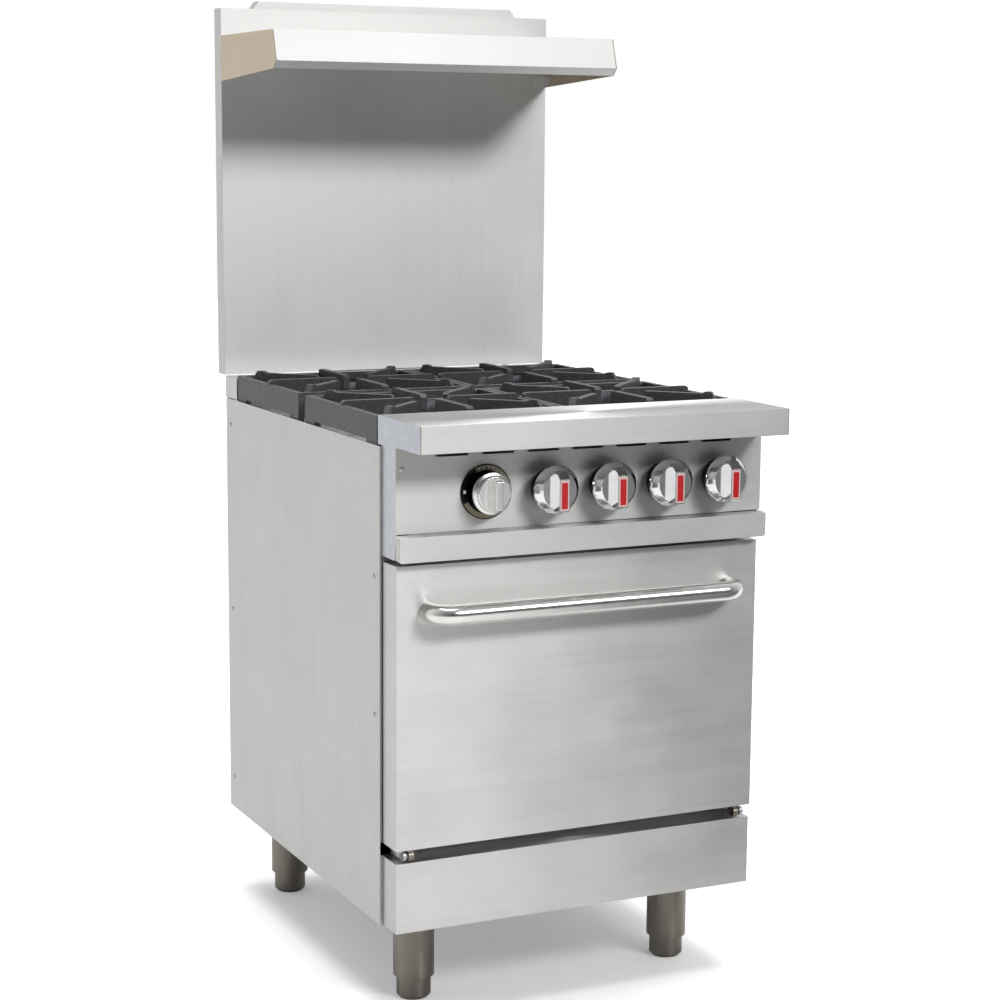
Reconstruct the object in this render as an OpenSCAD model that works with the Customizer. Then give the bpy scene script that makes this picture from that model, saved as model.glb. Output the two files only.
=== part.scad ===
// Commercial gas range with four open burners, one oven, a backguard and a high shelf.
// Millimetres, +Z up. The origin is on the floor under the middle of the whole range;
// +X is the cook's right hand, and the control panel and the oven door face -Y.

/* [Body] */
// Width over the side panels
body_w = 610; // [606:1:620]
// Front to back over the ledge and the backguard
total_d = 872; // [870:1:880]
// Depth of the side panels
body_d = 690; // [688:1:694]
// Height of the side panels' lower edge, which is the length of the legs
leg_h = 144; // [140:1:150]
// Height of the side panels' upper edge
body_top_z = 863; // [862:1:864]
// Thickness of the sheet steel
sheet = 1.2; // [0.9:0.1:1.5]

/* [Legs] */
// Diameter of the leg tube
leg_dia = 63; // [60:1:66]
// Diameter of the adjustable foot
foot_dia = 53; // [48:1:54]
// Height of foot that shows below the tube
foot_show = 35; // [30:1:40]
// Distance of the legs from the middle plane
leg_x = 222; // [200:1:240]
// Distance of the front legs behind the side panels' front edge
leg_front_in = 66; // [60:1:80]
// Distance from the front legs to the rear legs
leg_pitch_y = 551; // [520:1:556]

/* [Door] */
// Width of the oven door
door_w = 602; // [598:1:604]
// Height of the door's lower edge
door_z0 = 272; // [270:1:274]
// Height of the door's upper edge
door_z1 = 695; // [690:1:697]
// Distance of the door's face in front of the side panels
door_proud = 52.6; // [50:0.1:55]
// Diameter of the handle tube
handle_dia = 30; // [26:0.5:32]
// Height of the handle's axis
handle_z = 626; // [600:1:650]
// Distance of the handle's axis in front of the door
handle_off = 39; // [36:1:46]
// Distance from one handle leg to the other
handle_span = 502; // [480:1:530]

/* [Controls] */
// Height of the knobs' axes
knob_z = 797; // [795:1:800]
// Distance between neighbouring burner knobs
knob_pitch = 96; // [94:1:98]
// Distance of the first burner knob to the left of the middle
knob_first = 61; // [60:1:64]
// Diameter of a burner knob's skirt
knob_dia = 73; // [68:1:76]
// Distance of the oven thermostat to the left of the middle
dial_left = 162; // [158:1:164]
// Diameter of the thermostat's dial plate
dial_dia = 81; // [76:1:84]
// Distance from a vent slot to the next
slot_pitch = 73; // [72:1:74]
// Number of vent slots in the control panel
slot_count = 7; // [5:1:7]

/* [Cooking top] */
// Width of one cast grate
grate_w = 300; // [296:1:301]
// Depth of one cast grate
grate_d = 293; // [288:1:296]
// Height of the grates' rims
grate_z = 905; // [904:1:906]
// Height of the ledge's top
ledge_z = 907; // [906:1:910]
// Height of the ledge's front lip
ledge_lip = 40; // [38:1:44]
// Radius of a burner head
burner_r = 48; // [40:1:50]

/* [Backguard] */
// Depth of the backguard
guard_d = 36; // [34:1:40]
// Height of the backguard's top
guard_z1 = 1516.5; // [1510:0.5:1520]
// Height of the shelf's top
shelf_z = 1471; // [1465:1:1475]
// Depth of the shelf in front of the backguard
shelf_d = 255; // [240:1:262]

/* [Hidden] */
$fn = 48;

// Planes across the depth, from the back to the front
screw_h = 2.2;
rear_y = total_d / 2 - screw_h;
guard_y = total_d / 2 - guard_d;
back_y = guard_y - 9;
front_y = back_y - body_d;
ledge_y = -total_d / 2;
fascia_y = front_y - 56;
door_y = front_y - door_proud;
kick_y = front_y - 50;
tray_y = front_y - 73.6;
ledge_back_y = front_y + 16;
rail_y = guard_y - 62;

// Planes across the width
half_w = body_w / 2;
inner_x = half_w - sheet;
door_x = door_w / 2;
guard_x = half_w - 1;
ledge_x = half_w - 6;
cheek_t = 2;
box_x = 276;
tray_x = 272;
oven_x = 254;

// Heights
kick_z0 = leg_h + 1.5;
kick_z1 = 252;
tray_z0 = 703;
tray_z1 = 739.5;
fascia_z0 = 742;
rail_z = 900;
support_z = 891;
oven_z0 = 300;
oven_z1 = 665;
flue_z0 = 605;
flue_z1 = 635;
flue_half = 104;
chamber_z = 195;
burner_z = 222;
burner_mouth_y = front_y - 22;
bulb_z = oven_z1 - 12;
bulb_y = front_y + 125;
guard_z0 = 901;
cap_z = 1530;
ledge_lip_z = ledge_z - ledge_lip;

// Oven
oven_y0 = front_y + 5;
oven_y1 = back_y - 45;
liner_t = 1.5;
rack_z = [380, 520];
rack_half_w = 240;
rack_len = 590;
rack_rod = 3;
rack_y0 = oven_y1 - rack_len - rack_rod - 1;

// Door hinge axis, in the gap under the door
hinge_y = front_y - 45;
hinge_z = door_z0 - 10;
pin_r = 5;
pin_play = 0.08;

// Legs and feet
leg_front_y = front_y + leg_front_in;
leg_spots = [for (x = [-leg_x, leg_x], y = [leg_front_y, leg_front_y + leg_pitch_y]) [x, y]];
stem_r = 8;

// Burners and grates
row_gap = 32;
grate_xs = [-grate_w / 2 - 1.5, grate_w / 2 + 1.5];
grate_ys = [rail_y - grate_d * 1.5 - row_gap, rail_y - grate_d / 2];
flange_z = body_top_z - 4;
grate_foot_z = flange_z + 0.3;
head_z = 881;
valve_xs = [for (i = [0:3]) i * knob_pitch - knob_first];
// Valves 1 and 2 feed the left burners, valves 3 and 4 the right ones, front before rear
valve_heads = [[0, 0], [0, 1], [1, 0], [1, 1]];
venturi_r = 19;
manifold_y = fascia_y + 38;
manifold_z = knob_z - 34;
manifold_r = 13.35;
inlet_r = 10.65;
inlet_x = 288.1;
inlet_hole_r = inlet_r + 2;
stub_r = 13.35;
gas_turn_x = 269;
pilot_x = -8;

steel = [0.72, 0.72, 0.71];
galvanised = [0.60, 0.62, 0.68];
chrome = [0.85, 0.85, 0.86];
iron = [0.20, 0.20, 0.21];
enamel = [0.25, 0.25, 0.27];
wool = [0.80, 0.72, 0.45];
brass = [0.78, 0.62, 0.30];

// ---- Helpers ----

// A box between two opposite corners
module block(low, high) {
    translate(low) cube(high - low);
}

// A round bar from one point along X, Y or Z
module bar_x(at, r, len) {
    translate(at) rotate([0, 90, 0]) cylinder(h = len, r = r);
}

module bar_y(at, r, len) {
    translate(at) rotate([-90, 0, 0]) cylinder(h = len, r = r);
}

module bar_z(at, r, len) {
    translate(at) cylinder(h = len, r = r);
}

// The children and their mirror image across the middle plane
module both_sides() {
    children();
    mirror([1, 0, 0]) children();
}

// A profile drawn in depth (first) and height (second), pushed along X from x0 to x1
module along_x(x0, x1, points) {
    translate([x0, 0, 0]) rotate([90, 0, 90]) linear_extrude(x1 - x0) polygon(points);
}

// ---- Casing ----

// Shallow pan of folded sheet, with cross bearers over the legs
module base_frame() {
    edge = 30;
    color(steel) difference() {
        block([-inner_x, front_y + sheet, leg_h], [inner_x, back_y - sheet, leg_h + edge]);
        block([-inner_x + 2, front_y + sheet + 2, leg_h + 2],
            [inner_x - 2, back_y - sheet - 2, leg_h + edge + 1]);
        for (spot = leg_spots) bar_z([spot.x, spot.y, leg_h - 1], stem_r + 2, 10);
    }
}

// Plate under the frame, tube below it, and the threaded plug that carries the foot
module leg_tube() {
    wall = 2.5;
    plug_z = 72;
    plug_h = 12;
    difference() {
        union() {
            bar_z([0, 0, foot_show], leg_dia / 2, leg_h - foot_show - 2);
            block([-45, -45, leg_h - 3], [45, 45, leg_h]);
        }
        bar_z([0, 0, foot_show - 1], leg_dia / 2 - wall, plug_z - foot_show + 1);
        bar_z([0, 0, plug_z - 1], stem_r + 0.4, plug_h + 2);
        bar_z([0, 0, plug_z + plug_h], leg_dia / 2 - wall, leg_h - plug_z - plug_h - 5);
        bar_z([0, 0, leg_h - 8], stem_r + 2, 20);
    }
}

module leg_tubes() {
    color(steel) for (spot = leg_spots) translate([spot.x, spot.y, 0]) leg_tube();
}

// Foot with a chamfered sole, a collar inside the tube and a threaded stem
module foot(spot) {
    r = foot_dia / 2;
    chamfer = 5;
    collar_z = 64;
    color(steel) translate([spot.x, spot.y, 0]) rotate_extrude()
        polygon([[0, 0], [r - chamfer, 0], [r, chamfer], [r, collar_z], [stem_r, collar_z],
            [stem_r, 120], [0, 120]]);
}

module side_panel() {
    fold = 18;
    color(steel) {
        difference() {
            union() {
                block([inner_x, front_y, leg_h], [half_w, back_y, body_top_z]);
                block([half_w - fold, front_y, leg_h], [half_w, front_y + sheet, tray_z0]);
                block([ledge_x, front_y, tray_z0 - 1], [half_w, front_y + sheet, body_top_z]);
                block([half_w - fold, back_y - sheet, leg_h], [half_w, back_y, body_top_z]);
            }
            block([half_w - fold - 1, front_y - 1, kick_z1], [inner_x - 0.2, front_y + 3, door_z0]);
        }
    }
}

module side_panel_right() {
    color(steel) difference() {
        side_panel();
        inlet_hole();
    }
}

module side_panel_left() {
    mirror([1, 0, 0]) side_panel();
}

// Round clearance for the gas pipe through the back
module inlet_hole() {
    bar_y([inlet_x, back_y - 4, manifold_z], inlet_hole_r, 6);
}

// Back skin with three rows of louvre slots and its share of the gas pipe's hole
module back_panel() {
    x = inner_x - 18.4;
    louvre_w = 90;
    color(galvanised) difference() {
        block([-x, back_y - sheet, leg_h + 32], [x, back_y, body_top_z]);
        for (i = [-2:2], z = [leg_h + 60, leg_h + 80, leg_h + 100])
            block([i * 110 - louvre_w / 2, back_y - 3, z], [i * 110 + louvre_w / 2, back_y + 1, z + 6]);
        block([-flue_half - 4, back_y - 3, flue_z0 - 4], [flue_half + 4, back_y + 1, flue_z1 + 4]);
        inlet_hole();
    }
}

// Front face of the oven box, around the mouth
module oven_front_frame() {
    color(steel) difference() {
        block([-inner_x + 18.4, front_y, leg_h + 32], [inner_x - 18.4, front_y + 2, tray_z0 - 1]);
        block([-oven_x, front_y - 1, oven_z0], [oven_x, front_y + 3, oven_z1]);
        bar_y([0, front_y - 1, burner_z], 25, 4);
        bar_y([-gas_turn_x, front_y - 1, burner_z], 8, 4);
    }
}

// Oven box open at the front and at the bottom, where the deck lies, with the fire chamber below
module oven_liner() {
    t = liner_t;
    x = oven_x + t;
    color(enamel) difference() {
        block([-x, front_y + 2, chamber_z - t], [x, oven_y1 + t, oven_z1 + t]);
        block([-oven_x, front_y, oven_z0 - 2], [oven_x, oven_y1, oven_z1]);
        block([-oven_x, oven_y0 + 4, chamber_z], [oven_x, oven_y1, oven_z0]);
        block([-flue_half, oven_y1 - 1, flue_z0], [flue_half, oven_y1 + t + 1, flue_z1]);
        bar_y([0, front_y, burner_z], 24, 20);
        bar_x([-x - 1, bulb_y, bulb_z], 3, 4);
    }
}

// Loose bottom plate of the oven, with heat slots down both sides
module oven_deck() {
    slots = 8;
    pitch = 68;
    color(enamel) difference() {
        block([-oven_x + 2, oven_y0, oven_z0 - 2], [oven_x - 2, oven_y1 - 3, oven_z0]);
        for (i = [0:slots - 1], side = [-1, 1])
            translate([side * (oven_x - 28), oven_y0 + 60 + i * pitch, oven_z0 - 3])
                block([-8, -22, 0], [8, 22, 4]);
    }
}

// Mineral wool over the sides, the back and the top of the liner
module oven_insulation() {
    t = liner_t + 0.5;
    outer = inner_x - 20;
    color(wool) difference() {
        block([-outer, front_y + 4, chamber_z], [outer, oven_y1 + 38, tray_z0 - 2]);
        block([-oven_x - t, front_y, chamber_z - 1], [oven_x + t, oven_y1 + t, oven_z1 + t]);
        block([-flue_half - 4, oven_y1, flue_z0 - 4], [flue_half + 4, back_y, flue_z1 + 4]);
        bar_x([-outer - 1, bulb_y, bulb_z], 4, 40);
        block([-outer - 1, front_y, chamber_z - 1], [-oven_x - 4, front_y + 26, tray_z0]);
    }
}

// Wire ladders that carry the racks
module rack_guides() {
    rod = 2.5;
    x = oven_x - rod;
    reach = 10;
    drop = rack_rod + rod + 0.4;
    catch = 22;
    color(chrome) both_sides() {
        for (z = rack_z, dz = [0, catch])
            bar_y([x - reach, oven_y0 + 10, z - drop + dz], rod, rack_len + 30);
        for (y = [oven_y0 + 40, oven_y0 + 310, oven_y0 + 580]) {
            bar_z([x, y, oven_z0 + 20], rod, oven_z1 - oven_z0 - 60);
            for (z = rack_z, dz = [0, catch]) bar_x([x - reach, y, z - drop + dz], rod, reach);
        }
    }
}

module oven_rack(z) {
    wires = 13;
    step = rack_len / (wires + 1);
    color(chrome) {
        for (x = [-rack_half_w, rack_half_w]) bar_y([x, rack_y0, z], rack_rod, rack_len);
        for (y = [rack_y0, rack_y0 + rack_len]) bar_x([-rack_half_w, y, z], rack_rod, 2 * rack_half_w);
        for (i = [1:wires]) bar_x([-rack_half_w, rack_y0 + i * step, z + 1.5], 2, 2 * rack_half_w);
        for (x = [-rack_half_w / 3, rack_half_w / 3]) bar_y([x, rack_y0, z - 2], 2, rack_len);
        for (x = [-rack_half_w, rack_half_w], y = [rack_y0, rack_y0 + rack_len])
            translate([x, y, z]) sphere(r = rack_rod);
    }
}

// Straight tube burner with a bell mouth at the front and a closed rear end
module oven_burner() {
    r = 20;
    len = 500;
    color(iron) difference() {
        union() {
            bar_y([0, burner_mouth_y, burner_z], r, len);
            bar_y([0, burner_mouth_y, burner_z], r + 3, 8);
            for (y = [-120, 120]) block([-60, y - 6, chamber_z], [60, y + 6, burner_z]);
        }
        bar_y([0, burner_mouth_y - 1, burner_z], r - 3, len - 4);
    }
}

module kick_panel() {
    x = door_x - 0.6;
    back = front_y - 1;
    color(steel) difference() {
        block([-x, kick_y, kick_z0], [x, back, kick_z1]);
        block([-x + sheet, kick_y + sheet, kick_z0 + sheet], [x - sheet, back + 1, kick_z1 - sheet]);
        block([-x + 30, back - 18, kick_z0 - 1], [x - 30, back + 1, kick_z0 + 2]);
    }
}

// Ears on the front frame, each with the bore for a hinge pin
module hinge_brackets() {
    ear_x0 = 284;
    ear_x1 = 289;
    ear_r = 7;
    color(steel) both_sides() difference() {
        union() {
            block([ear_x0, hinge_y, hinge_z - 6], [ear_x1, front_y, hinge_z + 6]);
            bar_x([ear_x0, hinge_y, hinge_z], ear_r, ear_x1 - ear_x0);
            block([ear_x0 - 22, front_y - 3, hinge_z - 9], [ear_x1, front_y, hinge_z + 9]);
        }
        bar_x([ear_x0 - 1, hinge_y, hinge_z], pin_r + pin_play, ear_x1 - ear_x0 + 2);
    }
}

// ---- Control panel ----

// Slot with chamfered lower corners, drawn in width and height about its top middle
module vent_slot() {
    half = 29.5;
    drop = 9;
    polygon([[-half, 0], [half, 0], [half - 5, -drop], [-half + 5, -drop]]);
}

// Wide below the ledge's lip, where it covers the cheeks' edges, and narrow behind the lip
module fascia() {
    x = half_w - 1.5;
    top = ledge_z - sheet;
    slot_z = ledge_lip_z - 6.5;
    slot_shift = 4;
    stem_hole = 7;
    color(steel) difference() {
        union() {
            block([-x, fascia_y, fascia_z0], [x, fascia_y + sheet, ledge_lip_z]);
            block([-ledge_x, fascia_y, ledge_lip_z - 1], [ledge_x, fascia_y + sheet, top]);
            block([-ledge_x, fascia_y, fascia_z0], [ledge_x, fascia_y + 14, fascia_z0 + sheet]);
        }
        for (x = valve_xs) bar_y([x, fascia_y - 1, knob_z], stem_hole, 4);
        bar_y([-dial_left, fascia_y - 1, knob_z], 14, 4);
        for (i = [0:slot_count - 1])
            translate([(i - (slot_count - 1) / 2) * slot_pitch + slot_shift, fascia_y + 3, slot_z])
                rotate([90, 0, 0]) linear_extrude(6) vent_slot();
    }
}

// End plates that close the control panel and the ledge
module fascia_cheeks() {
    front = fascia_y + sheet + 0.2;
    back = front_y - 0.5;
    color(galvanised) both_sides() along_x(ledge_x, ledge_x + cheek_t, [
        [ledge_y, ledge_lip_z], [front, ledge_lip_z], [front, tray_z1 + 2],
        [front + 10, tray_z0], [back, tray_z0], [back, body_top_z + 1],
        [ledge_back_y, body_top_z + 1], [ledge_back_y, ledge_z], [ledge_y, ledge_z]]);
}

// Folded sheet: front lip with a small return, flat top, and a flange down at the back
module landing_ledge() {
    x = ledge_x;
    fold = 12;
    color(steel) {
        block([-x, ledge_y, ledge_z - sheet], [x, ledge_back_y, ledge_z]);
        block([-x, ledge_y, ledge_lip_z], [x, ledge_y + sheet, ledge_z]);
        block([-x, ledge_y, ledge_lip_z], [x, ledge_y + fold, ledge_lip_z + sheet]);
        block([-x, ledge_back_y - sheet, support_z], [x, ledge_back_y, ledge_z]);
    }
}

module dial_plate() {
    plate = 2;
    color([0.08, 0.08, 0.09]) difference() {
        bar_y([-dial_left, fascia_y - plate, knob_z], dial_dia / 2, plate);
        bar_y([-dial_left, fascia_y - plate - 1, knob_z], 9, plate + 2);
    }
}

// ---- Cooking top ----

// Side walls with outward flanges under the grates, and inward runners for the crumb tray
module burner_box() {
    wall_y0 = ledge_back_y + 4;
    wall_y1 = rail_y + 2;
    runner_z = tray_z0 + 1;
    color(galvanised) {
        both_sides() {
            block([box_x, wall_y0, runner_z], [box_x + sheet, wall_y1, flange_z]);
            block([box_x, wall_y0, flange_z - sheet], [inner_x - 0.2, wall_y1, flange_z]);
            block([box_x - 22, wall_y0, runner_z], [box_x + sheet, wall_y1, runner_z + sheet]);
        }
        block([-box_x, wall_y1 - sheet, fascia_z0 + 4], [box_x, wall_y1, support_z]);
    }
}

// Cross walls under the grates' rims, at the ledge and between the rows; the venturis pass through
module grate_supports() {
    front_wall_y = ledge_back_y + 5;
    mid_y = grate_ys[0] + grate_d / 2 + row_gap / 2;
    half = row_gap / 2 + 5;
    color(galvanised) difference() {
        union() {
            block([-box_x + 0.2, front_wall_y, fascia_z0 + 4], [box_x - 0.2, front_wall_y + 2, support_z]);
            block([-box_x + 0.2, front_wall_y, support_z - 2], [box_x - 0.2, front_wall_y + 8, support_z]);
            block([-box_x + 0.2, mid_y - half, fascia_z0 + 4], [box_x - 0.2, mid_y + half, support_z]);
        }
        block([-box_x, mid_y - half + 2, fascia_z0], [box_x, mid_y + half - 2, support_z - 2]);
        block([-13, front_wall_y - 1, flange_z], [13, mid_y + half + 1, support_z + 1]);
        for (index = [0:3])
            bar_y([valve_xs[index], front_wall_y - 1, knob_z], venturi_r + 1.5,
                valve_heads[index][1] == 1 ? 400 : 10);
        bar_y([pilot_x, front_wall_y - 1, manifold_z + 20], 4, 400);
    }
}

// Strip behind the grates
module rear_rail() {
    color(steel) {
        block([-half_w + 2, rail_y + 2.2, rail_z - sheet], [half_w - 2, guard_y, rail_z]);
        block([-half_w + 2, rail_y + 2.2, body_top_z + 0.2], [half_w - 2, rail_y + 2.2 + sheet, rail_z]);
        both_sides() block([inner_x - 2, rail_y + 2.2, body_top_z + 0.2],
            [inner_x - 0.8, guard_y, rail_z]);
    }
}

// One grate: rim, corner feet, four straight fingers and four corner fingers
module grate(column, row) {
    hw = grate_w / 2;
    hd = grate_d / 2;
    wall = 10;
    rim_h = 12;
    skirt_z = body_top_z + 4.8;
    top_z = grate_z + 7;
    low_z = head_z + 4;
    finger = 11;
    reach = [for (a = [0:7]) a % 2 == 1 ? 200 : a % 4 == 0 ? hw - 3 : hd - 3];
    color(iron) translate([grate_xs[column], grate_ys[row], 0]) {
        difference() {
            block([-hw, -hd, grate_z - rim_h], [hw, hd, grate_z]);
            block([-hw + wall, -hd + wall, grate_z - rim_h - 1], [hw - wall, hd - wall, grate_z + 1]);
        }
        both_sides() {
            block([hw - wall, -hd, skirt_z], [hw, hd, grate_z]);
            for (y = [-hd, hd - 40]) block([hw - wall, y, grate_foot_z], [hw, y + 40, skirt_z + 1]);
        }
        for (a = [0:7]) rotate(a * 45) translate([0, finger / 2, 0]) rotate([90, 0, 0])
            linear_extrude(finger) polygon(a % 2 == 1 ? [
                [62, low_z + 4], [66, low_z], [100, low_z], [150, grate_z - rim_h],
                [reach[a], grate_z - rim_h], [reach[a], grate_z - 1], [178, grate_z - 1],
                [172, top_z + 3], [162, top_z + 3], [156, top_z], [65, top_z], [62, top_z - 3]] : [
                [27, low_z + 5], [32, low_z], [70, low_z], [110, grate_z - rim_h],
                [reach[a], grate_z - rim_h], [reach[a], top_z - 3], [reach[a] - 4, top_z],
                [31, top_z], [27, top_z - 4]]);
    }
}

// Round head with a stepped port ring and a shallow domed cap
module burner_heads() {
    color(galvanised) for (column = [0, 1], row = [0, 1])
        translate([grate_xs[column], grate_ys[row], 0]) rotate_extrude()
            polygon([[0, head_z - 42], [30, head_z - 42], [34, head_z - 30], [burner_r, head_z - 22],
                [burner_r, head_z - 8], [burner_r - 3, head_z - 7], [burner_r - 3, head_z - 5],
                [burner_r, head_z - 4], [burner_r - 2, head_z - 2], [14, head_z], [0, head_z]]);
}

// Mixing tube from the valve, turning sideways into the riser under its burner head
module burner_venturi(index) {
    spot = valve_heads[index];
    x = valve_xs[index];
    head_x = grate_xs[spot[0]];
    head_y = grate_ys[spot[1]];
    mouth_y = manifold_y + 26;
    riser_r = 30;
    difference() {
        union() {
            bar_y([x, mouth_y, knob_z], venturi_r, head_y - mouth_y);
            bar_y([x, mouth_y, knob_z], venturi_r + 1, 10);
            translate([x, head_y, knob_z]) sphere(r = venturi_r);
            bar_x([min(x, head_x), head_y, knob_z], venturi_r, abs(head_x - x));
            bar_z([head_x, head_y, knob_z - 22], riser_r, head_z - 42 - knob_z + 22);
        }
        bar_y([x, mouth_y - 1, knob_z], venturi_r - 3, head_y - mouth_y);
    }
}

module burner_venturis() {
    color(iron) for (index = [0:3]) burner_venturi(index);
}

// Two pilots between the burners, fed by thin tubes from the manifold
module pilot_assembly() {
    tube_r = 3;
    x = pilot_x;
    rear_y = grate_ys[1] - 40;
    color(brass) {
        bar_y([x, manifold_y + manifold_r - 1, manifold_z + 20], tube_r,
            rear_y - manifold_y - manifold_r + 1);
        bar_z([x, manifold_y + manifold_r - 1, manifold_z], tube_r, 20);
        bar_y([x, manifold_y, manifold_z], tube_r, manifold_r + 2);
        for (y = [grate_ys[0], rear_y]) {
            bar_z([x, y, manifold_z + 20], tube_r, 66);
            bar_z([x, y, manifold_z + 78], 6, 14);
        }
    }
}

// Pan under the burners; its folded front is the strip below the control panel
module crumb_tray() {
    t = 1;
    floor_z = tray_z0 + 2.6;
    lip_z = tray_z1 - 3;
    back = rail_y - 6;
    strip_x = half_w - 1;
    strip_back = fascia_y - 1.5;
    color(steel) {
        difference() {
            block([-tray_x, tray_y + sheet, floor_z], [tray_x, back, lip_z]);
            block([-tray_x + t, tray_y + 2 * sheet, floor_z + t], [tray_x - t, back - t, lip_z + 1]);
        }
        difference() {
            union() {
                block([-strip_x, tray_y, tray_z0], [strip_x, tray_y + sheet, tray_z1]);
                along_x(-strip_x, strip_x, [[tray_y, tray_z1 - sheet], [tray_y, tray_z1],
                    [strip_back, tray_z1 + 1.5], [strip_back, tray_z1 + 1.5 - sheet]]);
                block([-strip_x, tray_y, tray_z0], [strip_x, tray_y + 12, tray_z0 + sheet]);
                both_sides() along_x(strip_x - sheet, strip_x, [[tray_y, tray_z0],
                    [tray_y, tray_z1], [strip_back, tray_z1 + 1.5], [strip_back, tray_z0]]);
            }
            both_sides() translate([strip_x, 0, tray_z0]) rotate([0, 45, 0])
                block([-2, tray_y - 1, -2], [2, strip_back + 1, 2]);
        }
    }
}

// ---- Gas train ----

module gas_manifold() {
    x0 = -270;
    x1 = 262;
    color(iron) difference() {
        bar_x([x0, manifold_y, manifold_z], manifold_r, x1 - x0);
        bar_x([x0 + 4, manifold_y, manifold_z], manifold_r - 2.9, x1 - x0 - 8);
    }
}

// Elbow at the manifold, run down the right side and threaded stub through the back
module gas_inlet_pipe() {
    joint_x = 262;
    stub_len = 34;
    color(iron) {
        bar_x([joint_x, manifold_y, manifold_z], inlet_r, inlet_x - joint_x);
        translate([inlet_x, manifold_y, manifold_z]) sphere(r = inlet_r);
        bar_y([inlet_x, manifold_y, manifold_z], inlet_r, back_y + 2 - manifold_y);
        bar_y([inlet_x, back_y + 1, manifold_z], stub_r, stub_len);
    }
}

// Valve body on the manifold, with the bore for its stem at the front and a gas hood behind
module burner_valve() {
    body_r = 11;
    color(brass) difference() {
        union() {
            bar_z([0, manifold_y, manifold_z + manifold_r - 2], 7, knob_z - manifold_z - manifold_r);
            bar_y([0, manifold_y - 22, knob_z], body_r, 34);
            bar_y([0, manifold_y + 11, knob_z], 6, 18);
        }
        bar_y([0, manifold_y - 23, knob_z], 4 + pin_play, 25);
    }
}

module burner_valves() {
    for (x = valve_xs) translate([x, 0, 0]) burner_valve();
}

// Oven control on the manifold, its capillary down the left side and its bulb in the oven
module thermostat() {
    x = -dial_left;
    cap_r = 1.2;
    drop_x = -inner_x + 9;
    drop_y = front_y + 20;
    color(brass) difference() {
        union() {
            block([x - 24, manifold_y - 20, knob_z - 20], [x + 24, manifold_y + 20, knob_z + 24]);
            bar_z([x, manifold_y, manifold_z + manifold_r - 2], 8, knob_z - manifold_z - manifold_r);
        }
        bar_y([x, manifold_y - 21, knob_z], 4 + pin_play, 26);
    }
    color([0.72, 0.45, 0.30]) {
        bar_x([drop_x, manifold_y + 10, knob_z + 15], cap_r, x - 22 - drop_x);
        translate([drop_x, manifold_y + 10, knob_z + 15]) sphere(r = cap_r);
        bar_y([drop_x, manifold_y + 10, knob_z + 15], cap_r, drop_y - manifold_y - 10);
        translate([drop_x, drop_y, knob_z + 15]) sphere(r = cap_r);
        bar_z([drop_x, drop_y, bulb_z], cap_r, knob_z + 15 - bulb_z);
        translate([drop_x, drop_y, bulb_z]) sphere(r = cap_r);
        bar_y([drop_x, drop_y, bulb_z], cap_r, bulb_y - drop_y);
        translate([drop_x, bulb_y, bulb_z]) sphere(r = cap_r);
        bar_x([drop_x, bulb_y, bulb_z], cap_r, 62);
        bar_y([drop_x + 62, bulb_y - 2, bulb_z], 4, 130);
    }
}

// Supply from the thermostat down to the oven burner
module oven_gas_line() {
    r = 5;
    x = -dial_left;
    drop_x = -inner_x + 12;
    y = manifold_y + 8;
    drop_y = front_y + 8;
    kick_in_y = front_y - 16;
    color([0.62, 0.63, 0.66]) {
        bar_x([drop_x, y, knob_z - 10], r, x - 24 - drop_x);
        translate([drop_x, y, knob_z - 10]) sphere(r = r);
        bar_y([drop_x, y, knob_z - 10], r, drop_y - y);
        translate([drop_x, drop_y, knob_z - 10]) sphere(r = r);
        bar_z([drop_x, drop_y, burner_z], r, knob_z - 10 - burner_z);
        translate([drop_x, drop_y, burner_z]) sphere(r = r);
        bar_x([drop_x, drop_y, burner_z], r, -gas_turn_x - drop_x);
        translate([-gas_turn_x, drop_y, burner_z]) sphere(r = r);
        bar_y([-gas_turn_x, kick_in_y, burner_z], r, drop_y - kick_in_y);
        translate([-gas_turn_x, kick_in_y, burner_z]) sphere(r = r);
        bar_x([-gas_turn_x, kick_in_y, burner_z], r, gas_turn_x - 120);
    }
}

// Safety valve with the elbow and hood that point into the oven burner
module oven_safety_valve() {
    y0 = front_y - 34;
    y1 = front_y - 4;
    elbow_y = y0 + 4;
    color(brass) {
        block([-120, y0, burner_z - 18], [-70, y1, burner_z + 18]);
        bar_z([-95, (y0 + y1) / 2, burner_z - 42], 13, 26);
        bar_x([-71, elbow_y, burner_z], 6, 71);
        block([-6, elbow_y - 6, burner_z - 6], [6, elbow_y + 6, burner_z + 6]);
        bar_y([0, elbow_y, burner_z], 5, burner_mouth_y - elbow_y + 2);
    }
}

// ---- Backguard and shelf ----

// Folded front skin: face, two side returns, top and bottom returns
module backguard_skin() {
    fold = 8;
    color(steel) difference() {
        block([-guard_x, guard_y, guard_z0], [guard_x, rear_y - sheet, guard_z1]);
        block([-guard_x + sheet, guard_y + sheet, guard_z0 + sheet],
            [guard_x - sheet, rear_y, guard_z1 - sheet]);
        block([-guard_x + 14, guard_y + fold, guard_z0 - 1], [guard_x - 14, rear_y, guard_z0 + 2]);
        block([-238, guard_y + fold, guard_z1 - 3], [238, rear_y - fold, guard_z1 + 1]);
    }
}

module backguard_back() {
    color(galvanised) block([-guard_x, rear_y - sheet, guard_z0], [guard_x, rear_y, guard_z1]);
}

// Upright channels that carry the backguard on the back of the body
module backguard_brackets() {
    x0 = 236;
    x1 = 272;
    top = guard_z0 + 120;
    color(galvanised) both_sides() difference() {
        block([x0, back_y, 640], [x1, rear_y - sheet, top]);
        block([x0 + 2, back_y + 2, 639], [x1 + 1, rear_y, top + 1]);
        block([x0 - 1, back_y - 1, body_top_z], [x1 + 1, guard_y + 9, top + 1]);
    }
}

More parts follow.
